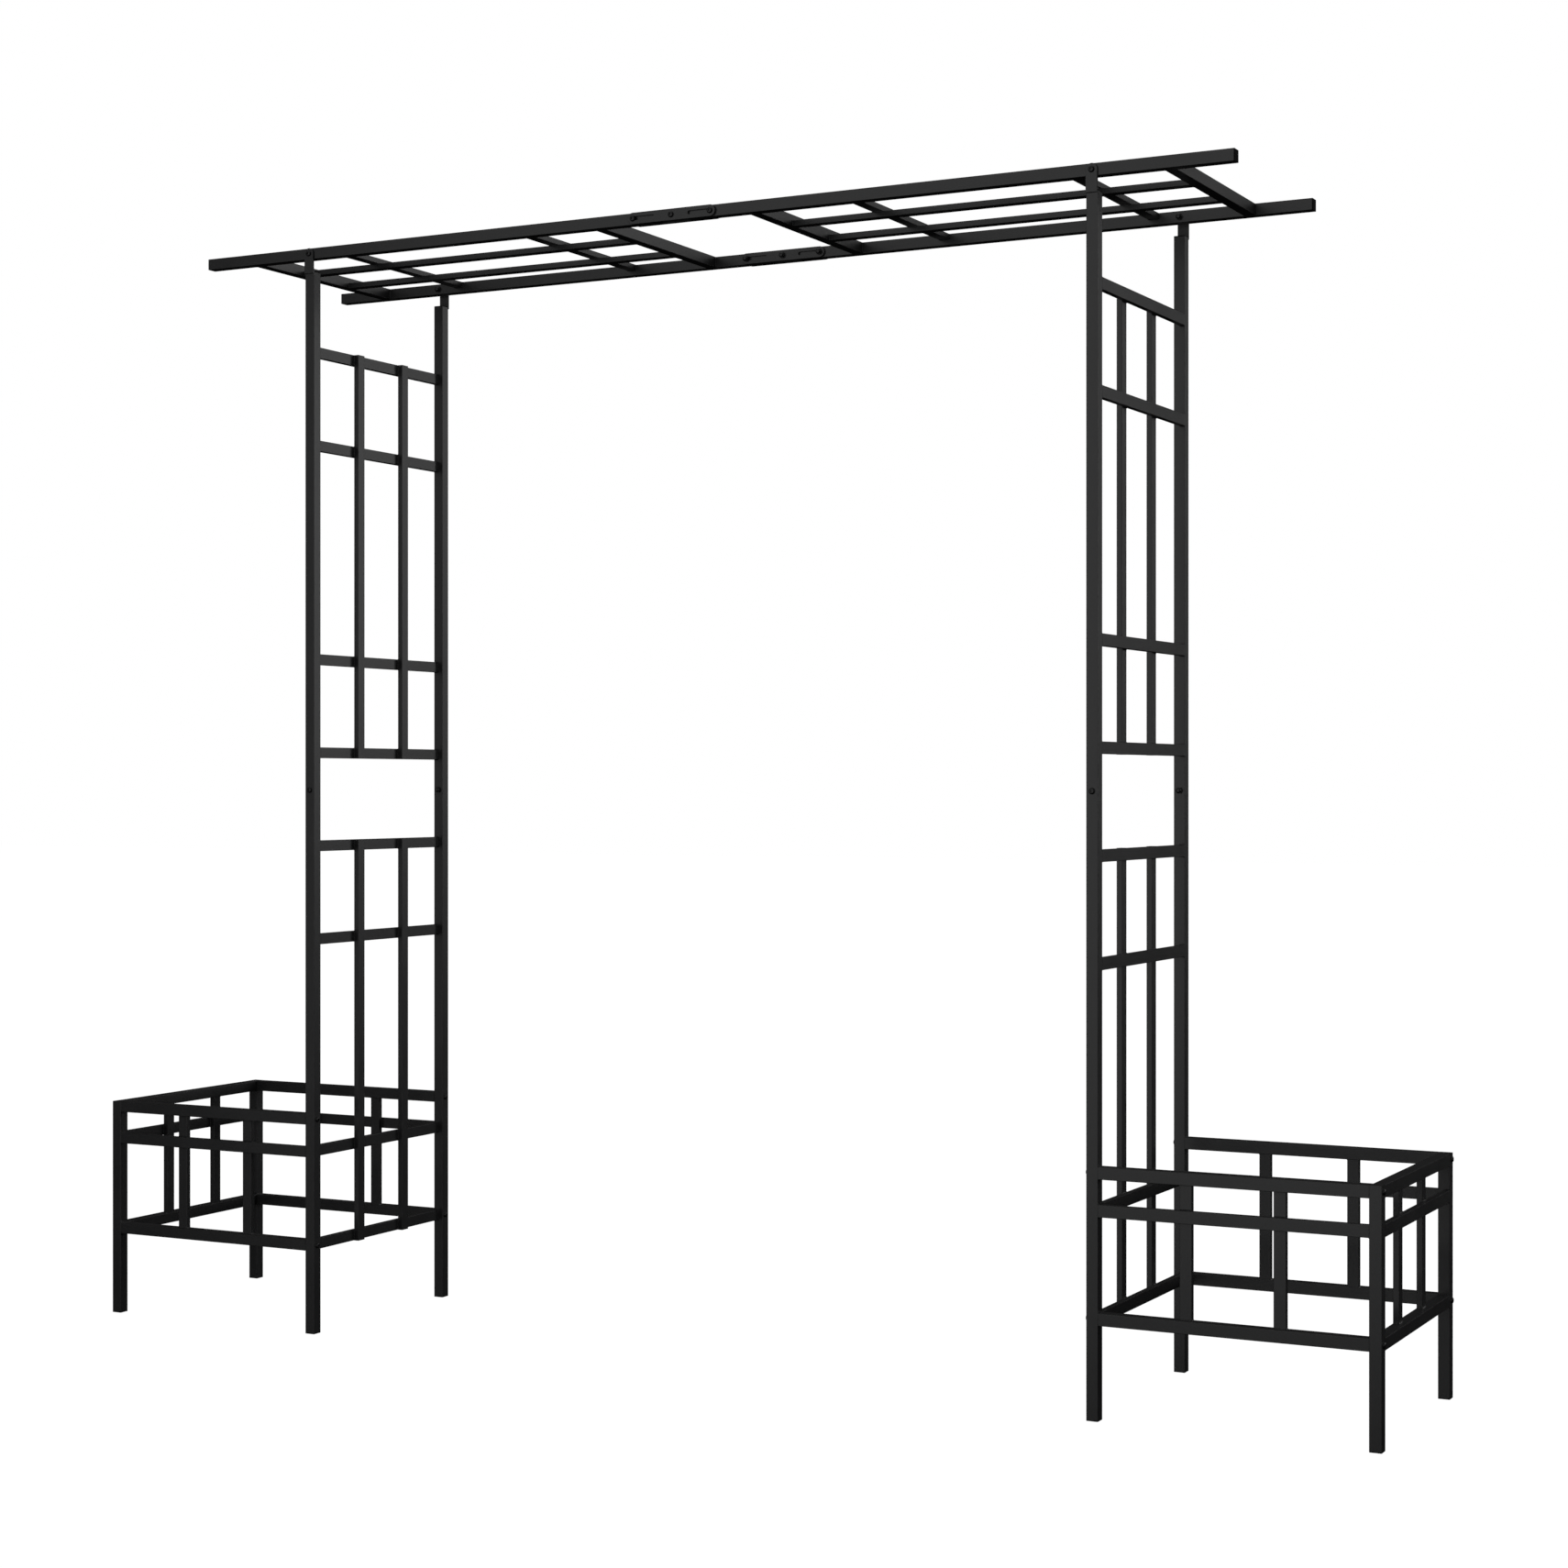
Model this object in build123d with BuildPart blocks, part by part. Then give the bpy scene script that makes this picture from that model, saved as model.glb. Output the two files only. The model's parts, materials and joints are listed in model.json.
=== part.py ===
from build123d import *
import os

# A garden arch of welded steel tube: two side ladders, two open planter frames and a flat ladder roof.
# Millimetres. The origin is on the ground under the middle of the archway, +X to the right planter,
# +Y from the front to the back, +Z up. The two halves are mirror images of each other.

# Overall sizes
arch_height = 2000.0  # ground to the top of the roof
arch_depth = 436.0  # over the front and back posts
clear_width = 1515.0  # between the two side ladders
planter_width = 457.0  # from a ladder's outer face to the planter's outer face
planter_height = 405.0
roof_overhang = 225.5  # roof rail past a ladder's outer face

# Tube stock
tube_size = 20.0
tube_wall = 1.0
tube_corner = 0.8
slat_thickness = 10.0
slat_wall = 0.8
slat_corner = 0.7
inner_corner = 0.4

# Side ladders
post_gap = 22.5  # between a post's top and the roof rail above it
section_joint = 985.0  # where the upper ladder stands on the lower one
section_bolt_rise = 17.0  # bolt above that joint
sleeve_length = 120.0
sleeve_clearance = 0.2
sleeve_wall = 1.5
pair_pitch = 172.5  # centre to centre of two neighbouring rungs
top_rung_drop = 145.5  # post top to the middle of the highest rung
bottom_rail_height = 162.5  # middle of the lowest rungs and rails
bar_spacing = 142.0  # between the two upright bars of a ladder or an end panel

# Planter frames
panel_bar_spacing = 152.0
leg_cap = 1.5

# Roof
centre_bay = 305.0  # between the two middle cross tubes
roof_end = 110.0  # rail end to the middle of the outer cross tube
rail_end = 31.5  # middle of the arch to a rail's inner end
tab_thickness = 3.0
tab_overlap = 4.0  # tab welded over the top of its post

# Splice at the middle of each roof rail
splice_thickness = 4.0
splice_reach = 76.0  # middle bolt to each end bolt
slot_travel = 40.0

# Fasteners and plugs
bolt_size = 6.0
hole_clearance = 0.25
thread_clearance = 0.05
slot_clearance = 0.5
bolt_head_size = 10.5
bolt_head_height = 3.3
bolt_socket_size = 4.0
bolt_socket_depth = 2.0
nut_flats = 10.0
nut_hex_height = 4.5
nut_height = 8.0
nut_bore_depth = 7.0
nut_dome_size = 9.5
nut_dome_round = 3.0
bolt_end = 6.0  # bolt past the face that its nut sits on
rail_nut_length = 10.0
rail_nut_bolt_end = 15.0  # planter bolt inside the rail
spacer_wall = 1.75
plug_head = 1.5
plug_depth = 15.0
plug_wall = 1.5
fit_clearance = 0.1
edge_break = 0.4

# Places that follow from the sizes
half_tube = tube_size / 2
half_slat = slat_thickness / 2
post_x = clear_width / 2 + half_tube
post_y = arch_depth / 2 - half_tube
inner_y = arch_depth / 2 - tube_size
outer_y = arch_depth / 2
ladder_x = clear_width / 2 + tube_size
leg_x = ladder_x + planter_width - half_tube
panel_start = ladder_x
panel_end = ladder_x + planter_width - tube_size
panel_middle = (panel_start + panel_end) / 2
panel_length = panel_end - panel_start
rail_z = arch_height - half_tube
post_top = arch_height - tube_size - post_gap
top_rail_height = planter_height - half_tube
mid_rail_height = bottom_rail_height + pair_pitch
section_bolt = section_joint + section_bolt_rise
roof_length = ladder_x + roof_overhang
outer_cross = roof_length - roof_end
outer_slat = outer_cross - pair_pitch
inner_cross = centre_bay / 2
inner_slat = inner_cross + pair_pitch
rung_span = 2 * inner_y
hole_radius = bolt_size / 2 + hole_clearance
thread_radius = bolt_size / 2 + thread_clearance
slot_width = bolt_size + 2 * slot_clearance
lower_rungs = (
    bottom_rail_height,
    mid_rail_height,
    section_joint - 1.5 * pair_pitch,
    section_joint - 0.5 * pair_pitch,
)
upper_rungs = (
    section_joint + 0.5 * pair_pitch,
    section_joint + 1.5 * pair_pitch,
    post_top - top_rung_drop - pair_pitch,
    post_top - top_rung_drop,
)

os.makedirs("parts", exist_ok=True)


def run_plane(start, axis):
    """Plane at a point with its normal along +X, +Y or +Z; a tube's first size lies along its x."""
    across = (0, 1, 0) if axis == "X" else (1, 0, 0)
    along = {"X": (1, 0, 0), "Y": (0, 1, 0), "Z": (0, 0, 1)}[axis]
    return Plane(origin=start, x_dir=across, z_dir=along)


def facing_plane(start, axis, side):
    """Plane at a point with its normal along an axis, or against it where side is -1."""
    across = (0, 1, 0) if axis == "X" else (1, 0, 0)
    along = {"X": (side, 0, 0), "Y": (0, side, 0), "Z": (0, 0, side)}[axis]
    return Plane(origin=start, x_dir=across, z_dir=along)


def tube_profile(width, height, wall, corner):
    with BuildSketch() as profile:
        RectangleRounded(width, height, corner)
        RectangleRounded(width - 2 * wall, height - 2 * wall, inner_corner, mode=Mode.SUBTRACT)
    return profile.sketch


square_tube = tube_profile(tube_size, tube_size, tube_wall, tube_corner)
upright_slat = tube_profile(slat_thickness, tube_size, slat_wall, slat_corner)
flat_slat = tube_profile(tube_size, slat_thickness, slat_wall, slat_corner)


def make_tubes(name, profile, runs, holes=()):
    """One node of tubes with a common section; a run is (start, axis, length), a hole (centre, axis)."""
    with BuildPart() as tubes:
        for start, axis, length in runs:
            with BuildSketch(run_plane(start, axis)):
                add(profile)
            extrude(amount=length)
        for centre, axis in holes:
            with BuildSketch(run_plane(centre, axis)):
                Circle(hole_radius)
            extrude(amount=tube_size, both=True, mode=Mode.SUBTRACT)
    tubes.part.label = name
    export_step(tubes.part, f"parts/{name}.step")


def place_copies(name, pieces):
    """One node of separate solids; a piece is (solid, plane)."""
    with BuildPart() as copies:
        for solid, plane in pieces:
            with Locations(plane):
                add(solid)
    copies.part.label = name
    export_step(copies.part, f"parts/{name}.step")


def button_bolt(length):
    """Domed socket bolt, its head's seat on the XY plane and its shank along +Z."""
    with BuildPart() as bolt:
        with BuildSketch():
            Circle(bolt_head_size / 2)
        extrude(amount=-bolt_head_height)
        fillet(bolt.edges().sort_by(Axis.Z)[0], radius=0.8 * bolt_head_height)
        with BuildSketch(Plane.XY.offset(-bolt_head_height)):
            RegularPolygon(radius=bolt_socket_size / 2, side_count=6, major_radius=False)
        extrude(amount=bolt_socket_depth, mode=Mode.SUBTRACT)
        with BuildSketch():
            Circle(bolt_size / 2)
        extrude(amount=length)
        chamfer(bolt.edges().sort_by(Axis.Z)[-1], length=2 * edge_break)
    return bolt.part


def cap_nut():
    """Domed nut, its seat on the XY plane and its dome along +Z."""
    with BuildPart() as nut:
        with BuildSketch():
            RegularPolygon(radius=nut_flats / 2, side_count=6, major_radius=False)
        extrude(amount=nut_hex_height)
        with BuildSketch(Plane.XY.offset(nut_hex_height)):
            Circle(nut_dome_size / 2)
        extrude(amount=nut_height - nut_hex_height)
        fillet(nut.edges().sort_by(Axis.Z)[-1], radius=nut_dome_round)
        with BuildSketch():
            Circle(thread_radius)
        extrude(amount=nut_bore_depth, mode=Mode.SUBTRACT)
    return nut.part


def rail_nut():
    """Threaded block welded inside the end of a planter rail, from the XY plane along +Z."""
    block_size = tube_size - 2 * tube_wall - 2 * fit_clearance
    with BuildPart() as block:
        with BuildSketch():
            RectangleRounded(block_size, block_size, inner_corner)
            Circle(thread_radius, mode=Mode.SUBTRACT)
        extrude(amount=rail_nut_length)
    return block.part


def tube_plug():
    """Push-in plug; the tube's end is on the XY plane, the hollow stem along +Z."""
    stem_size = tube_size - 2 * tube_wall - 2 * fit_clearance
    with BuildPart() as plug:
        with BuildSketch():
            RectangleRounded(tube_size, tube_size, tube_corner)
        extrude(amount=-plug_head)
        fillet(plug.edges().group_by(Axis.Z)[0], radius=0.5 * plug_head)
        with BuildSketch():
            RectangleRounded(stem_size, stem_size, inner_corner)
            RectangleRounded(stem_size - 2 * plug_wall, stem_size - 2 * plug_wall, inner_corner, mode=Mode.SUBTRACT)
        extrude(amount=plug_depth)
    return plug.part


def post_tab():
    """Flat tab: square foot, round head about its hole; hole on the origin, back on the XY plane."""
    foot = rail_z - (post_top - tab_overlap)
    with BuildPart() as tab:
        with BuildSketch():
            Circle(half_tube)
            Rectangle(tube_size, foot, align=(Align.CENTER, Align.MAX))
            Circle(hole_radius, mode=Mode.SUBTRACT)
        extrude(amount=tab_thickness)
        chamfer(tab.faces().sort_by(Axis.Z)[-1].outer_wire().edges(), length=edge_break)
    return tab.part


def splice_plate():
    """Plate with a middle hole and two slots; middle hole on the origin, back on the XY plane."""
    slot_middle = splice_reach - slot_travel / 2
    with BuildPart() as plate:
        with BuildSketch():
            SlotOverall(2 * splice_reach + tube_size, tube_size)
            Circle(hole_radius, mode=Mode.SUBTRACT)
            with Locations((-slot_middle, 0), (slot_middle, 0)):
                SlotCenterToCenter(slot_travel, slot_width, mode=Mode.SUBTRACT)
        extrude(amount=splice_thickness)
        chamfer(plate.faces().sort_by(Axis.Z)[-1].outer_wire().edges(), length=edge_break)
    return plate.part


def centre_spacer():
    with BuildPart() as spacer:
        with BuildSketch():
            Circle(hole_radius + spacer_wall)
            Circle(hole_radius, mode=Mode.SUBTRACT)
        extrude(amount=tube_size)
    return spacer.part


def leg_top():
    with BuildPart() as cap:
        with BuildSketch():
            RectangleRounded(tube_size, tube_size, tube_corner)
        extrude(amount=leg_cap)
    return cap.part


section_bolt_solid = button_bolt(tube_size + bolt_end)
tab_bolt_solid = button_bolt(tube_size + tab_thickness + bolt_end)
splice_bolt_solid = button_bolt(tube_size + 2 * splice_thickness + bolt_end)
planter_bolt_solid = button_bolt(tube_size + rail_nut_bolt_end)
cap_nut_solid = cap_nut()
rail_nut_solid = rail_nut()
plug_solid = tube_plug()
tab_solid = post_tab()
plate_solid = splice_plate()
spacer_solid = centre_spacer()
leg_top_solid = leg_top()


def face_plane(x, y, z, side):
    """Plane on a face that looks to the front (side -1) or the back (side 1), its y up."""
    return Plane(origin=(x, y, z), x_dir=(-side, 0, 0), z_dir=(0, side, 0))


def make_ladder(hand, side):
    """Posts, rungs, bars, sleeves and tabs of one side ladder; side is -1 for the left half."""
    x = side * post_x
    rung_x = side * (ladder_x - half_slat)
    bar_x = side * (ladder_x - slat_thickness - half_slat)
    planter_holes = (top_rail_height, bottom_rail_height)
    for place, y in (("front", -post_y), ("back", post_y)):
        make_tubes(
            f"{hand}_{place}_lower_post",
            square_tube,
            [((x, y, plug_head), "Z", section_joint - plug_head)],
            [((x, y, z), "X") for z in planter_holes],
        )
        make_tubes(
            f"{hand}_{place}_upper_post",
            square_tube,
            [((x, y, section_joint), "Z", post_top - plug_head - section_joint)],
            [((x, y, section_bolt), "Y")],
        )
    for level, heights in (("lower", lower_rungs), ("upper", upper_rungs)):
        runs = [((rung_x, -inner_y, z), "Y", rung_span) for z in heights]
        make_tubes(f"{hand}_{level}_rungs", upright_slat, runs)
    bar_runs = []
    for heights in (lower_rungs, upper_rungs):
        foot = heights[0] - half_tube
        bar_length = heights[-1] + half_tube - foot
        for y in (-bar_spacing / 2, bar_spacing / 2):
            bar_runs.append(((bar_x, y, foot), "Z", bar_length))
    make_tubes(f"{hand}_ladder_bars", upright_slat, bar_runs)

    sleeve_size = tube_size - 2 * tube_wall - 2 * sleeve_clearance
    sleeve_profile = tube_profile(sleeve_size, sleeve_size, sleeve_wall, inner_corner)
    sleeve_foot = section_joint - sleeve_length / 2
    make_tubes(
        f"{hand}_joint_sleeves",
        sleeve_profile,
        [((x, y, sleeve_foot), "Z", sleeve_length) for y in (-post_y, post_y)],
        [((x, y, section_bolt), "Y") for y in (-post_y, post_y)],
    )
    place_copies(
        f"{hand}_tabs",
        [(tab_solid, face_plane(x, turn * outer_y, rail_z, turn)) for turn in (-1, 1)],
    )


def make_planter(hand, side):
    """Legs, rails, bars and caps of one open planter frame."""
    x = side * leg_x
    panel_x = min(side * panel_start, side * panel_end)
    rail_heights = (bottom_rail_height, top_rail_height)
    for place, y in (("front", -post_y), ("back", post_y)):
        make_tubes(
            f"{hand}_{place}_leg",
            square_tube,
            [((x, y, plug_head), "Z", planter_height - leg_cap - plug_head)],
            [((x, y, z), "X") for z in rail_heights],
        )
        make_tubes(
            f"{hand}_{place}_rails",
            square_tube,
            [((panel_x, y, z), "X", panel_length) for z in rail_heights],
        )
    make_tubes(
        f"{hand}_end_rails",
        square_tube,
        [((x, -inner_y, z), "Y", rung_span) for z in rail_heights],
    )
    mid_x = side * (leg_x + half_tube - half_slat)
    mid_y = outer_y - half_slat
    make_tubes(
        f"{hand}_mid_rails",
        upright_slat,
        [
            ((mid_x, -inner_y, mid_rail_height), "Y", rung_span),
            ((panel_x, -mid_y, mid_rail_height), "X", panel_length),
            ((panel_x, mid_y, mid_rail_height), "X", panel_length),
        ],
    )
    bar_foot = bottom_rail_height + half_tube
    bar_length = top_rail_height - half_tube - bar_foot
    bar_y = outer_y - slat_thickness - half_slat
    end_bar_x = side * (leg_x + half_tube - slat_thickness - half_slat)
    with BuildPart() as bars:
        for offset in (-panel_bar_spacing / 2, panel_bar_spacing / 2):
            for y in (-bar_y, bar_y):
                with BuildSketch(run_plane((side * panel_middle + offset, y, bar_foot), "Z")):
                    add(flat_slat)
                extrude(amount=bar_length)
        for y in (-bar_spacing / 2, bar_spacing / 2):
            with BuildSketch(run_plane((end_bar_x, y, bar_foot), "Z")):
                add(upright_slat)
            extrude(amount=bar_length)
    bars.part.label = f"{hand}_planter_bars"
    export_step(bars.part, f"parts/{hand}_planter_bars.step")

    cap_z = planter_height - leg_cap
    place_copies(
        f"{hand}_leg_caps",
        [(leg_top_solid, run_plane((x, y, cap_z), "Z")) for y in (-post_y, post_y)],
    )


def make_roof_half(hand, side):
    """Two rails, two cross tubes and four slats of one roof half."""
    rail_length = roof_length - plug_head - rail_end
    rail_start = min(side * rail_end, side * (rail_end + rail_length))
    hole_places = (side * post_x, side * splice_reach)
    for place, y in (("front", -post_y), ("back", post_y)):
        make_tubes(
            f"{hand}_{place}_roof_rail",
            square_tube,
            [((rail_start, y, rail_z), "X", rail_length)],
            [((x, y, rail_z), "Y") for x in hole_places],
        )
    make_tubes(
        f"{hand}_roof_cross_tubes",
        square_tube,
        [((side * x, -inner_y, rail_z), "Y", rung_span) for x in (inner_cross, outer_cross)],
    )
    long_start = min(side * (inner_cross + half_tube), side * (outer_cross - half_tube))
    long_length = outer_cross - inner_cross - tube_size
    make_tubes(
        f"{hand}_roof_cross_slats",
        flat_slat,
        [((side * x, -inner_y, arch_height - half_slat), "Y", rung_span) for x in (inner_slat, outer_slat)],
    )
    long_slat_z = arch_height - slat_thickness - half_slat
    make_tubes(
        f"{hand}_roof_long_slats",
        flat_slat,
        [((long_start, y, long_slat_z), "X", long_length) for y in (-bar_spacing / 2, bar_spacing / 2)],
    )


def make_fittings(hand, side):
    """Bolts, nuts, threaded blocks and plugs of one half."""
    x = side * post_x
    tab_face = outer_y + tab_thickness
    plate_face = outer_y + splice_thickness
    inner_plate_face = inner_y - splice_thickness
    frame_bolts = []
    nuts = []
    for turn in (-1, 1):
        frame_bolts.append((tab_bolt_solid, facing_plane((x, turn * tab_face, rail_z), "Y", -turn)))
        frame_bolts.append(
            (section_bolt_solid, facing_plane((x, turn * outer_y, section_bolt), "Y", -turn))
        )
        end_x = side * splice_reach
        frame_bolts.append((splice_bolt_solid, facing_plane((end_x, turn * plate_face, rail_z), "Y", -turn)))
        nuts.append((cap_nut_solid, facing_plane((x, turn * inner_y, rail_z), "Y", -turn)))
        nuts.append((cap_nut_solid, facing_plane((x, turn * inner_y, section_bolt), "Y", -turn)))
        nuts.append((cap_nut_solid, facing_plane((end_x, turn * inner_plate_face, rail_z), "Y", -turn)))
    place_copies(f"{hand}_frame_bolts", frame_bolts)
    place_copies(f"{hand}_cap_nuts", nuts)

    planter_bolts = []
    blocks = []
    for y in (-post_y, post_y):
        for z in (bottom_rail_height, top_rail_height):
            post_face = (side * clear_width / 2, y, z)
            leg_face = (side * (leg_x + half_tube), y, z)
            planter_bolts.append((planter_bolt_solid, facing_plane(post_face, "X", side)))
            planter_bolts.append((planter_bolt_solid, facing_plane(leg_face, "X", -side)))
            blocks.append((rail_nut_solid, facing_plane((side * panel_start, y, z), "X", side)))
            blocks.append((rail_nut_solid, facing_plane((side * panel_end, y, z), "X", -side)))
    place_copies(f"{hand}_planter_bolts", planter_bolts)
    place_copies(f"{hand}_rail_nuts", blocks)

    foot_plugs = []
    end_plugs = []
    for y in (-post_y, post_y):
        for foot_x in (side * post_x, side * leg_x):
            foot_plugs.append((plug_solid, facing_plane((foot_x, y, plug_head), "Z", 1)))
        end_plugs.append((plug_solid, facing_plane((x, y, post_top - plug_head), "Z", -1)))
        rail_tip = (side * (roof_length - plug_head), y, rail_z)
        end_plugs.append((plug_solid, facing_plane(rail_tip, "X", -side)))
    place_copies(f"{hand}_foot_plugs", foot_plugs)
    place_copies(f"{hand}_end_plugs", end_plugs)


def make_splice():
    """Plates, middle bolts, nuts and spacers that join the two roof halves."""
    plate_face = outer_y + splice_thickness
    inner_plate_face = inner_y - splice_thickness
    turns = (-1, 1)
    outer_plates = [(plate_solid, face_plane(0, turn * outer_y, rail_z, turn)) for turn in turns]
    inner_plates = [(plate_solid, face_plane(0, turn * inner_y, rail_z, -turn)) for turn in turns]
    place_copies("splice_plates", outer_plates + inner_plates)
    place_copies(
        "centre_bolts",
        [(splice_bolt_solid, facing_plane((0, turn * plate_face, rail_z), "Y", -turn)) for turn in turns],
    )
    place_copies(
        "centre_nuts",
        [(cap_nut_solid, facing_plane((0, turn * inner_plate_face, rail_z), "Y", -turn)) for turn in turns],
    )
    place_copies(
        "centre_spacers",
        [(spacer_solid, facing_plane((0, turn * outer_y, rail_z), "Y", -turn)) for turn in turns],
    )


for hand_name, hand_side in (("left", -1), ("right", 1)):
    make_ladder(hand_name, hand_side)
    make_planter(hand_name, hand_side)
    make_roof_half(hand_name, hand_side)
    make_fittings(hand_name, hand_side)
make_splice()
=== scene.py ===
import json
import math

import bmesh
import bpy
import numpy as np
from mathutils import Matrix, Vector


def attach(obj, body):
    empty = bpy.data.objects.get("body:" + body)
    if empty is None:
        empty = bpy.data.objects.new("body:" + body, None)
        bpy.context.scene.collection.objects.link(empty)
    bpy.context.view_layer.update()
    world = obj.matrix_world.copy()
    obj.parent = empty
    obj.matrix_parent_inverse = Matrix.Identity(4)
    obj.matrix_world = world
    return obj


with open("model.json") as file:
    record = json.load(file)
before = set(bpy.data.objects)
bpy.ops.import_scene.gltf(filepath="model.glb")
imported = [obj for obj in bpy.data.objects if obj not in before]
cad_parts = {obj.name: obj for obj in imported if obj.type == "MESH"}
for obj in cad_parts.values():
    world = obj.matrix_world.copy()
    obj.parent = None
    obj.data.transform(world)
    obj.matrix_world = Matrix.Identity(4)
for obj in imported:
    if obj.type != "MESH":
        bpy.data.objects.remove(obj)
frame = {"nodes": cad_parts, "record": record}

scene = bpy.context.scene
nodes = frame["nodes"]
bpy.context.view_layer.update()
mm = 0.001
sides = ("left", "right")
print("stage: frame loaded,", len(nodes), "nodes")


# small helpers for node trees and meshes

def link(tree, fromNode, fromSocket, toNode, toSocket):
    tree.links.new(fromNode.outputs[fromSocket], toNode.inputs[toSocket])


def mathNode(tree, operation, first, second=None, third=None):
    # a Math node; each value is a number or a (node, socket) pair
    node = tree.nodes.new("ShaderNodeMath")
    node.operation = operation
    for index, value in enumerate((first, second, third)):
        if isinstance(value, tuple):
            tree.links.new(value[0].outputs[value[1]], node.inputs[index])
        elif value is not None:
            node.inputs[index].default_value = value
    return node


def noiseNode(tree, coordinates, scale, detail=3.0, roughness=0.5):
    node = tree.nodes.new("ShaderNodeTexNoise")
    node.inputs["Scale"].default_value = scale
    node.inputs["Detail"].default_value = detail
    node.inputs["Roughness"].default_value = roughness
    link(tree, coordinates, "Object", node, "Vector")
    return node


def rampNode(tree, source, socket, stops):
    # stops are (place, grey or colour)
    node = tree.nodes.new("ShaderNodeValToRGB")
    link(tree, source, socket, node, "Fac")
    elements = node.color_ramp.elements
    while len(elements) < len(stops):
        elements.new(0.5)
    for element, (place, colour) in zip(elements, stops):
        element.position = place
        shade = colour if isinstance(colour, tuple) else (colour,) * 3
        element.color = (*shade, 1.0)
    return node


mixSockets = {"first": 6, "second": 7, "result": 2}  # a colour Mix node's own places


def mixNode(tree, factor, first, second):
    # colour mix; factor is a (node, socket), the others colours or (node, socket)
    node = tree.nodes.new("ShaderNodeMix")
    node.data_type = "RGBA"
    tree.links.new(factor[0].outputs[factor[1]], node.inputs["Factor"])
    for place, value in (("first", first), ("second", second)):
        socket = node.inputs[mixSockets[place]]
        if isinstance(value[0], bpy.types.Node):
            tree.links.new(value[0].outputs[value[1]], socket)
        else:
            socket.default_value = (*value, 1.0)
    return node


def rangeNode(tree, source, socket, low, high):
    # a Map Range from 0..1 to low..high
    node = tree.nodes.new("ShaderNodeMapRange")
    node.inputs["To Min"].default_value = low
    node.inputs["To Max"].default_value = high
    link(tree, source, socket, node, "Value")
    return node


def newMaterial(name):
    material = bpy.data.materials.new(name)
    material.use_nodes = True
    return material, material.node_tree, material.node_tree.nodes["Principled BSDF"]


def bumpChain(tree, shader, layers):
    # layers are (node, socket, strength, distance), the coarsest first
    last = None
    for source, socket, strength, distance in layers:
        bump = tree.nodes.new("ShaderNodeBump")
        bump.inputs["Strength"].default_value = strength
        bump.inputs["Distance"].default_value = distance
        link(tree, source, socket, bump, "Height")
        if last:
            link(tree, last, "Normal", bump, "Normal")
        last = bump
    link(tree, last, "Normal", shader, "Normal")


edgeSamples = 6
flatAgreement = 0.985  # from this dot product of the two normals up, a face counts as flat


def edgeMask(tree, radius, sharpAgreement):
    # 1 on a sharp outside edge, 0 on the flats
    bevel = tree.nodes.new("ShaderNodeBevel")
    bevel.samples = edgeSamples
    bevel.inputs["Radius"].default_value = radius
    shape = tree.nodes.new("ShaderNodeNewGeometry")
    dot = tree.nodes.new("ShaderNodeVectorMath")
    dot.operation = "DOT_PRODUCT"
    link(tree, bevel, "Normal", dot, 0)
    link(tree, shape, "Normal", dot, 1)
    spread = tree.nodes.new("ShaderNodeMapRange")
    spread.inputs["From Min"].default_value = flatAgreement
    spread.inputs["From Max"].default_value = sharpAgreement
    link(tree, dot, "Value", spread, "Value")
    return spread


# materials

powderCoat = {
    "deep": (0.0150, 0.0152, 0.0158),
    "light": (0.0220, 0.0222, 0.0230),
    "edge": (0.046, 0.046, 0.047),
    "bodyStops": (0.50, 0.95),
    # each noise is (scale, detail, roughness)
    "cloud": (9.0, 4.0, 0.6),  # broad unevenness of the coat
    "mottle": (130.0, 3.0, 0.55),  # patches of about 8 mm
    "peel": (620.0, 2.0, 0.45),  # orange peel, about 1.6 mm
    "grain": (2600.0, 1.0, 0.5),
    "mottleShare": 0.45,
    "nibScale": 210.0,  # one nib to about 5 mm
    "nibSize": 0.085,
    "roughLow": 0.28,
    "roughHigh": 0.36,
    "edgeSmoothing": -0.12,  # worn edges are a little glossier
    "edgeRadius": 0.7 * mm,
    "sharpAgreement": 0.86,  # down to this dot product an edge counts as fully worn
    "specular": 0.5,
    # each bump is (strength, height)
    "mottleBump": (0.10, 0.12 * mm),
    "peelBump": (0.25, 0.030 * mm),
    "nibBump": (0.20, 0.030 * mm),
    "grainBump": (0.15, 0.006 * mm),
}


def bodyRamp(tree, source, socket, look):
    # the coat's own colour, from its deep shade to its light one
    start, finish = look["bodyStops"]
    return rampNode(tree, source, socket, ((start, look["deep"]), (finish, look["light"])))


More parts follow.
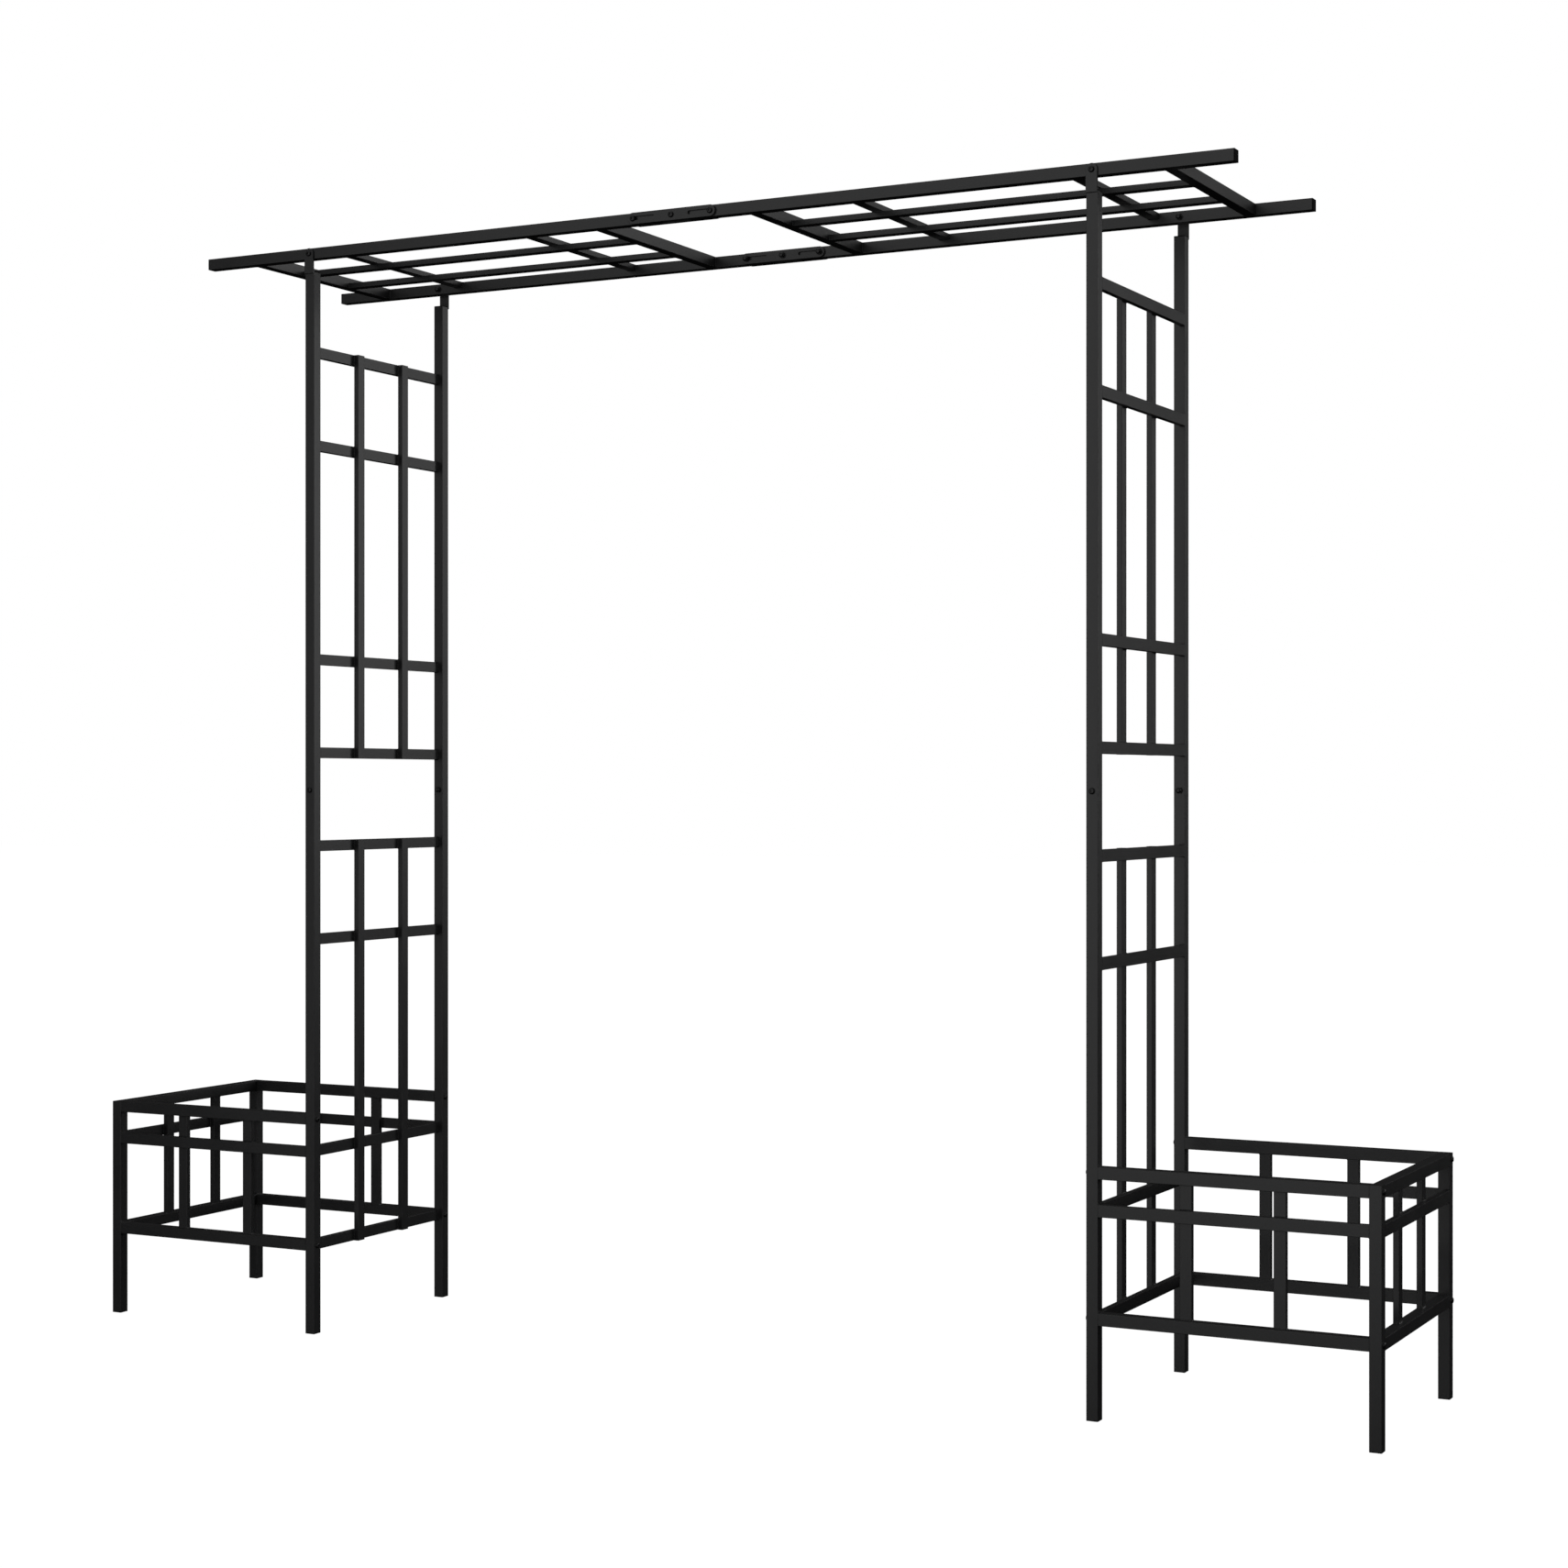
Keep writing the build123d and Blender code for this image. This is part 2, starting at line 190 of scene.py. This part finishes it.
def makePowderCoat():
    material, tree, shader = newMaterial("satinPowderCoat")
    place = tree.nodes.new("ShaderNodeTexCoord")
    cloud = noiseNode(tree, place, *powderCoat["cloud"])
    mottle = noiseNode(tree, place, *powderCoat["mottle"])
    peel = noiseNode(tree, place, *powderCoat["peel"])
    grain = noiseNode(tree, place, *powderCoat["grain"])
    blend = mathNode(tree, "MULTIPLY_ADD", (mottle, "Fac"), powderCoat["mottleShare"], (cloud, "Fac"))
    body = bodyRamp(tree, blend, "Value", powderCoat)
    nib = tree.nodes.new("ShaderNodeTexVoronoi")
    nib.inputs["Scale"].default_value = powderCoat["nibScale"]
    link(tree, place, "Object", nib, "Vector")
    nibSpot = rampNode(tree, nib, "Distance", ((0.0, 1.0), (powderCoat["nibSize"], 0.0)))
    mask = edgeMask(tree, powderCoat["edgeRadius"], powderCoat["sharpAgreement"])
    worn = mathNode(tree, "MULTIPLY", (mask, "Result"), (mottle, "Fac"))
    colour = mixNode(tree, (worn, "Value"), (body, "Color"), powderCoat["edge"])
    link(tree, colour, mixSockets["result"], shader, "Base Color")
    rough = rangeNode(tree, cloud, "Fac", powderCoat["roughLow"], powderCoat["roughHigh"])
    smoothEdge = mathNode(
        tree, "MULTIPLY_ADD", (worn, "Value"), powderCoat["edgeSmoothing"], (rough, "Result"))
    link(tree, smoothEdge, "Value", shader, "Roughness")
    shader.inputs["Specular IOR Level"].default_value = powderCoat["specular"]
    bumpChain(tree, shader, (
        (mottle, "Fac", *powderCoat["mottleBump"]),
        (peel, "Fac", *powderCoat["peelBump"]),
        (nibSpot, "Color", *powderCoat["nibBump"]),
        (grain, "Fac", *powderCoat["grainBump"]),
    ))
    return material


boltCoat = {
    "deep": (0.0095, 0.0096, 0.0102),
    "light": (0.0205, 0.0205, 0.0215),
    "edge": (0.085, 0.083, 0.080),
    "bodyStops": (0.35, 0.70),
    "smear": (340.0, 4.0, 0.6),
    "grit": (3200.0, 2.0, 0.5),
    "roughLow": 0.26,
    "roughHigh": 0.44,
    "edgeRadius": 0.45 * mm,
    "sharpAgreement": 0.80,
    "metallic": 0.25,
    "smearBump": (0.12, 0.05 * mm),
    "gritBump": (0.25, 0.010 * mm),
}


def makeBoltCoat():
    material, tree, shader = newMaterial("blackBoltCoat")
    place = tree.nodes.new("ShaderNodeTexCoord")
    smear = noiseNode(tree, place, *boltCoat["smear"])
    grit = noiseNode(tree, place, *boltCoat["grit"])
    body = bodyRamp(tree, smear, "Fac", boltCoat)
    mask = edgeMask(tree, boltCoat["edgeRadius"], boltCoat["sharpAgreement"])
    worn = mathNode(tree, "MULTIPLY", (mask, "Result"), (smear, "Fac"))
    colour = mixNode(tree, (worn, "Value"), (body, "Color"), boltCoat["edge"])
    link(tree, colour, mixSockets["result"], shader, "Base Color")
    rough = rangeNode(tree, smear, "Fac", boltCoat["roughLow"], boltCoat["roughHigh"])
    link(tree, rough, "Result", shader, "Roughness")
    shader.inputs["Metallic"].default_value = boltCoat["metallic"]
    bumpChain(tree, shader, (
        (smear, "Fac", *boltCoat["smearBump"]),
        (grit, "Fac", *boltCoat["gritBump"]),
    ))
    return material


plugPlastic = {
    "deep": (0.0024, 0.0024, 0.0026),
    "light": (0.0050, 0.0050, 0.0052),
    "scuff": (0.020, 0.020, 0.020),
    "bodyStops": (0.35, 0.70),
    "flow": (160.0, 3.0, 0.55),
    "spark": (1500.0, 3.0, 0.6),  # spark-eroded mould face
    "roughLow": 0.58,
    "roughHigh": 0.74,
    "edgeRadius": 0.5 * mm,
    "sharpAgreement": 0.84,
    "specular": 0.03,
    "sparkBump": (0.30, 0.030 * mm),
}


def makePlugPlastic():
    material, tree, shader = newMaterial("mouldedPlugPlastic")
    place = tree.nodes.new("ShaderNodeTexCoord")
    flow = noiseNode(tree, place, *plugPlastic["flow"])
    spark = noiseNode(tree, place, *plugPlastic["spark"])
    body = bodyRamp(tree, flow, "Fac", plugPlastic)
    mask = edgeMask(tree, plugPlastic["edgeRadius"], plugPlastic["sharpAgreement"])
    worn = mathNode(tree, "MULTIPLY", (mask, "Result"), (spark, "Fac"))
    colour = mixNode(tree, (worn, "Value"), (body, "Color"), plugPlastic["scuff"])
    link(tree, colour, mixSockets["result"], shader, "Base Color")
    rough = rangeNode(tree, flow, "Fac", plugPlastic["roughLow"], plugPlastic["roughHigh"])
    link(tree, rough, "Result", shader, "Roughness")
    shader.inputs["Specular IOR Level"].default_value = plugPlastic["specular"]
    bumpChain(tree, shader, ((spark, "Fac", *plugPlastic["sparkBump"]),))
    return material


slotMaterials = {
    "powder_coat": makePowderCoat(),
    "fasteners": makeBoltCoat(),
    "plugs": makePlugPlastic(),
}
slotOfNode = {row["node"]: row["material_slot"] for row in frame["record"]["subparts"]}
for nodeName, node in nodes.items():
    for materialSlot in node.material_slots:
        materialSlot.material = slotMaterials[slotOfNode[nodeName]]
print("stage: materials made")


# where the solids of each node stand

samePoint = 0.001 * mm


def solidsOf(nodeName):
    # the separate solids of a node, as arrays of points
    working = bmesh.new()
    working.from_mesh(nodes[nodeName].data)
    bmesh.ops.remove_doubles(working, verts=working.verts, dist=samePoint)
    unseen = set(working.verts)
    solids = []
    while unseen:
        stack = [unseen.pop()]
        points = []
        while stack:
            vertex = stack.pop()
            points.append(tuple(vertex.co))
            for edge in vertex.link_edges:
                other = edge.other_vert(vertex)
                if other in unseen:
                    unseen.remove(other)
                    stack.append(other)
        solids.append(np.array(points))
    working.free()
    solids.sort(key=lambda found: tuple(np.round(found.mean(axis=0), 4)))
    return solids


solidPoints = {name: solidsOf(name) for name in nodes}
solidBoxes = {name: [(found.min(axis=0), found.max(axis=0)) for found in solids]
              for name, solids in solidPoints.items()}
print("stage: solids found,", sum(len(boxes) for boxes in solidBoxes.values()))


# finishing a Geometry Nodes piece

def meshFromTree(name, source, tree, settings):
    # runs the tree on the source object and returns a new plain mesh object
    modifier = source.modifiers.new("build", "NODES")
    modifier.node_group = tree
    identifiers = {}
    for item in tree.interface.items_tree:
        if item.in_out == "INPUT":
            identifiers[item.name] = item.identifier
    for label, value in settings.items():
        modifier[identifiers[label]] = value
    graph = bpy.context.evaluated_depsgraph_get()
    made = bpy.data.meshes.new_from_object(source.evaluated_get(graph))
    made.name = name
    source.modifiers.remove(modifier)
    bpy.data.objects.remove(source)
    piece = bpy.data.objects.new(name, made)
    scene.collection.objects.link(piece)
    return piece


def addInput(tree, label, kind, value=None):
    socket = tree.interface.new_socket(label, in_out="INPUT", socket_type=kind)
    if value is not None:
        socket.default_value = value


def newTree(name):
    tree = bpy.data.node_groups.new(name, "GeometryNodeTree")
    addInput(tree, "Geometry", "NodeSocketGeometry")
    tree.interface.new_socket("Geometry", in_out="OUTPUT", socket_type="NodeSocketGeometry")
    return tree


def endTree(tree, given, lastNode, lastSocket):
    # Realize Instances and Set Material close every tree
    real = tree.nodes.new("GeometryNodeRealizeInstances")
    painted = tree.nodes.new("GeometryNodeSetMaterial")
    output = tree.nodes.new("NodeGroupOutput")
    link(tree, lastNode, lastSocket, real, "Geometry")
    link(tree, real, "Geometry", painted, "Geometry")
    link(tree, given, "Material", painted, "Material")
    link(tree, painted, "Geometry", output, "Geometry")


# weld beads: a rippled bead along each inside corner where two welded members meet

weldBead = {
    "radius": 1.55 * mm,
    "step": 0.75 * mm,
    "ripplePitch": 2.3 * mm,
    "rippleDepth": 0.16,
    "unevenness": 0.34,
    "unevenScale": 210.0,
    "wander": 0.35 * mm,
    "taper": 2.2 * mm,
    "tipShare": 0.45,  # of the full thickness, at the very ends
    "ringPoints": 8,
    "seed": 4,
    "sink": 0.45 * mm,  # the bead's middle lies this far inside the corner
    "shortest": 3 * mm,  # corners shorter than this, or this near flush, get no bead
    "touch": 0.05 * mm,
}
weldedPairs = []
for level in ("lower", "upper"):
    for place in ("front", "back"):
        weldedPairs.append((f"{place}_{level}_post", f"{level}_rungs"))
    weldedPairs.append((f"{level}_rungs", "ladder_bars"))
for place in ("front", "back"):
    weldedPairs += [
        (f"{place}_leg", "end_rails"),
        (f"{place}_leg", "mid_rails"),
        (f"{place}_rails", "planter_bars"),
        (f"{place}_roof_rail", "roof_cross_tubes"),
        (f"{place}_roof_rail", "roof_cross_slats"),
    ]
weldedPairs += [
    ("end_rails", "planter_bars"),
    ("mid_rails", "planter_bars"),
    ("roof_cross_tubes", "roof_long_slats"),
    ("roof_cross_slats", "roof_long_slats"),
]


def contactCorners(first, second):
    # corner lines round the contact patch of two boxes
    # a side where both boxes end together has none
    flush, touch = weldBead["shortest"], weldBead["touch"]
    lines = []
    for axis in range(3):
        across = [other for other in range(3) if other != axis]
        for lower, upper in ((first, second), (second, first)):
            if abs(lower[1][axis] - upper[0][axis]) > touch:
                continue
            patch = [(max(lower[0][a], upper[0][a]), min(lower[1][a], upper[1][a]))
                     for a in across]
            if min(high - low for low, high in patch) < flush:
                continue
            level = lower[1][axis]
            for this, other in ((0, 1), (1, 0)):
                for end in (0, 1):
                    edges = (lower[end][across[this]], upper[end][across[this]])
                    if abs(edges[0] - edges[1]) < flush:
                        continue
                    # the member that ends at this side, and the way into it
                    inward = 1 if end == 0 else -1
                    corners = []
                    for along in patch[other]:
                        point = [0.0, 0.0, 0.0]
                        point[axis] = level
                        point[across[this]] = patch[this][end] + inward * weldBead["sink"]
                        point[across[other]] = along
                        corners.append(tuple(point))
                    lines.append(corners)
    return lines


def makeBeadTree():
    tree = newTree("weldBead")
    inputs = {"Bead radius": "radius", "Step": "step", "Ripple pitch": "ripplePitch",
              "Ripple depth": "rippleDepth", "Unevenness": "unevenness", "Wander": "wander",
              "Taper": "taper", "Seed": "seed"}
    for label, key in inputs.items():
        addInput(tree, label, "NodeSocketFloat", float(weldBead[key]))
    addInput(tree, "Material", "NodeSocketMaterial")
    given = tree.nodes.new("NodeGroupInput")
    lines = tree.nodes.new("GeometryNodeMeshToCurve")
    finer = tree.nodes.new("GeometryNodeResampleCurve")
    finer.mode = "LENGTH"
    along = tree.nodes.new("GeometryNodeSplineParameter")
    whole = tree.nodes.new("GeometryNodeSplineLength")
    link(tree, given, "Geometry", lines, "Mesh")
    link(tree, lines, "Curve", finer, "Curve")
    link(tree, given, "Step", finer, "Length")
    # ripples: a sine of the length run so far
    turns = mathNode(tree, "DIVIDE", (along, "Length"), (given, "Ripple pitch"))
    angle = mathNode(tree, "MULTIPLY", (turns, "Value"), 2 * math.pi)
    wave = mathNode(tree, "SINE", (angle, "Value"))
    ripple = mathNode(tree, "MULTIPLY_ADD", (wave, "Value"), (given, "Ripple depth"), 1.0)
    # slow swelling and thinning of the bead
    noise = tree.nodes.new("ShaderNodeTexNoise")
    noise.noise_dimensions = "4D"
    noise.inputs["Scale"].default_value = weldBead["unevenScale"]
    link(tree, given, "Seed", noise, "W")
    centred = mathNode(tree, "SUBTRACT", (noise, "Fac"), 0.5)
    swell = mathNode(tree, "MULTIPLY_ADD", (centred, "Value"), (given, "Unevenness"), 1.0)
    # both ends thin down
    left = mathNode(tree, "SUBTRACT", (whole, "Length"), (along, "Length"))
    nearEnd = mathNode(tree, "MINIMUM", (left, "Value"), (along, "Length"))
    share = mathNode(tree, "DIVIDE", (nearEnd, "Value"), (given, "Taper"))
    share.use_clamp = True
    eased = mathNode(tree, "POWER", (share, "Value"), 0.5)
    tip = weldBead["tipShare"]
    ends = mathNode(tree, "MULTIPLY_ADD", (eased, "Value"), 1.0 - tip, tip)
    size = mathNode(tree, "MULTIPLY", (ripple, "Value"), (swell, "Value"))
    size = mathNode(tree, "MULTIPLY", (size, "Value"), (ends, "Value"))
    # the line itself wanders a little
    middle = tree.nodes.new("ShaderNodeVectorMath")
    middle.operation = "SUBTRACT"
    middle.inputs[1].default_value = (0.5, 0.5, 0.5)
    link(tree, noise, "Color", middle, 0)
    shift = tree.nodes.new("ShaderNodeVectorMath")
    shift.operation = "SCALE"
    link(tree, middle, "Vector", shift, 0)
    link(tree, given, "Wander", shift, "Scale")
    moved = tree.nodes.new("GeometryNodeSetPosition")
    link(tree, finer, "Curve", moved, "Geometry")
    link(tree, shift, "Vector", moved, "Offset")
    ring = tree.nodes.new("GeometryNodeCurvePrimitiveCircle")
    ring.inputs["Resolution"].default_value = weldBead["ringPoints"]
    link(tree, given, "Bead radius", ring, "Radius")
    tube = tree.nodes.new("GeometryNodeCurveToMesh")
    tube.inputs["Fill Caps"].default_value = True
    link(tree, moved, "Geometry", tube, "Curve")
    link(tree, ring, "Curve", tube, "Profile Curve")
    link(tree, size, "Value", tube, "Scale")
    smooth = tree.nodes.new("GeometryNodeSetShadeSmooth")
    link(tree, tube, "Mesh", smooth, "Geometry")
    endTree(tree, given, smooth, "Geometry")
    return tree


beadTree = makeBeadTree()
decimals = 6  # points that agree to a thousandth of a millimetre are one
for side in sides:
    beadLines = []
    for firstName, secondName in weldedPairs:
        for firstBox in solidBoxes[f"{side}_{firstName}"]:
            for secondBox in solidBoxes[f"{side}_{secondName}"]:
                beadLines += contactCorners(firstBox, secondBox)
    corners = {}
    lineEdges = []
    for start, finish in beadLines:
        ends = []
        for point in (start, finish):
            rounded = tuple(round(value, decimals) for value in point)
            ends.append(corners.setdefault(rounded, len(corners)))
        lineEdges.append(ends)
    beadMesh = bpy.data.meshes.new(f"{side}BeadLines")
    beadMesh.from_pydata(list(corners), lineEdges, [])
    beadSource = bpy.data.objects.new(f"{side}BeadLines", beadMesh)
    scene.collection.objects.link(beadSource)
    beadSettings = {"Material": slotMaterials["powder_coat"]}
    beads = meshFromTree(f"{side}WeldBeads", beadSource, beadTree, beadSettings)
    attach(beads, f"{side}_half")
    print("stage: weld beads,", side, len(lineEdges), "lines,", len(beads.data.polygons), "faces")


# studio

camera = {
    "place": (2.3685, -4.3769, 1.0133),
    "turn": 27.36,  # degrees to the left of +Y
    "lens": 63.99,
    "sensor": 36.0,
}
cameraData = bpy.data.cameras.new("archCamera")
cameraData.lens = camera["lens"]
cameraData.sensor_width = camera["sensor"]
cameraObject = bpy.data.objects.new("archCamera", cameraData)
cameraObject.location = camera["place"]
cameraObject.rotation_euler = (math.radians(90), 0, math.radians(camera["turn"]))
scene.collection.objects.link(cameraObject)
scene.camera = cameraObject

floorLook = {"size": 60.0, "glow": 1.0, "diffuse": 0.12}


def makeFloor():
    half = floorLook["size"] / 2
    mesh = bpy.data.meshes.new("studioFloor")
    corners = [(-half, -half, 0), (half, -half, 0), (half, half, 0), (-half, half, 0)]
    mesh.from_pydata(corners, [], [(0, 1, 2, 3)])
    floor = bpy.data.objects.new("studioFloor", mesh)
    scene.collection.objects.link(floor)
    material = bpy.data.materials.new("paleFloor")
    material.use_nodes = True
    tree = material.node_tree
    tree.nodes.clear()
    glow = tree.nodes.new("ShaderNodeEmission")
    glow.inputs["Strength"].default_value = floorLook["glow"]
    matt = tree.nodes.new("ShaderNodeBsdfDiffuse")
    matt.inputs["Color"].default_value = (floorLook["diffuse"],) * 3 + (1,)
    both = tree.nodes.new("ShaderNodeAddShader")
    output = tree.nodes.new("ShaderNodeOutputMaterial")
    link(tree, glow, "Emission", both, 0)
    link(tree, matt, "BSDF", both, 1)
    link(tree, both, "Shader", output, "Surface")
    mesh.materials.append(material)
    floor.visible_diffuse = False
    floor.visible_glossy = False
    floor.visible_shadow = False


makeFloor()

studioWorld = {
    "backdrop": 1.0,  # what the camera sees; the rest is what lights the object
    "above": 0.05,
    "level": 0.02,
    "below": 0.001,
    "aboveFrom": 0.85,  # 0 is straight down and 1 straight up
    "levelAt": 0.52,
    "belowTo": 0.40,
}


def makeWorld():
    world = bpy.data.worlds.new("studio")
    scene.world = world
    world.use_nodes = True
    tree = world.node_tree
    background = tree.nodes["Background"]
    place = tree.nodes.new("ShaderNodeTexCoord")
    split = tree.nodes.new("ShaderNodeSeparateXYZ")
    link(tree, place, "Generated", split, "Vector")
    rise = tree.nodes.new("ShaderNodeMapRange")
    rise.inputs["From Min"].default_value = -1.0
    link(tree, split, "Z", rise, "Value")
    shade = rampNode(tree, rise, "Result", (
        (studioWorld["belowTo"], studioWorld["below"]),
        (studioWorld["levelAt"], studioWorld["level"]),
        (studioWorld["aboveFrom"], studioWorld["above"]),
    ))
    ray = tree.nodes.new("ShaderNodeLightPath")
    backdrop = (studioWorld["backdrop"],) * 3
    seen = mixNode(tree, (ray, "Is Camera Ray"), (shade, "Color"), backdrop)
    link(tree, seen, mixSockets["result"], background, "Color")


makeWorld()

# large soft panels; glow is the panel's own brightness, and size its width and height in metres
softboxes = {
    "frontPanel": {
        "place": (-0.6, -5.0, 1.95), "aim": (-0.6, 0, 1.95), "size": (7.2, 5.7), "glow": 0.60,
    },
    "rightBackPanel": {
        "place": (11.6, 7.8, 4.8), "aim": (0, 0, 4.8), "size": (12.0, 8.6), "glow": 1.3,
    },
    "overheadPanel": {
        "place": (0, 0.5, 6.5), "aim": (0, 0.5, 0), "size": (6.0, 6.0), "glow": 0.40,
    },
}
wattsPerGlow = 4.0  # an area lamp's watts for one unit of brightness on one square metre
for lampName, lamp in softboxes.items():
    lampData = bpy.data.lights.new(lampName, "AREA")
    lampData.shape = "RECTANGLE"
    lampData.size, lampData.size_y = lamp["size"]
    lampData.energy = lamp["glow"] * wattsPerGlow * lamp["size"][0] * lamp["size"][1]
    lampObject = bpy.data.objects.new(lampName, lampData)
    lampObject.location = lamp["place"]
    toAim = Vector(lamp["aim"]) - Vector(lamp["place"])
    lampObject.rotation_euler = toAim.to_track_quat("-Z", "Y").to_euler()
    lampObject.visible_camera = False
    scene.collection.objects.link(lampObject)

scene.view_settings.view_transform = "Standard"
scene.view_settings.look = "None"
print("stage: studio ready")
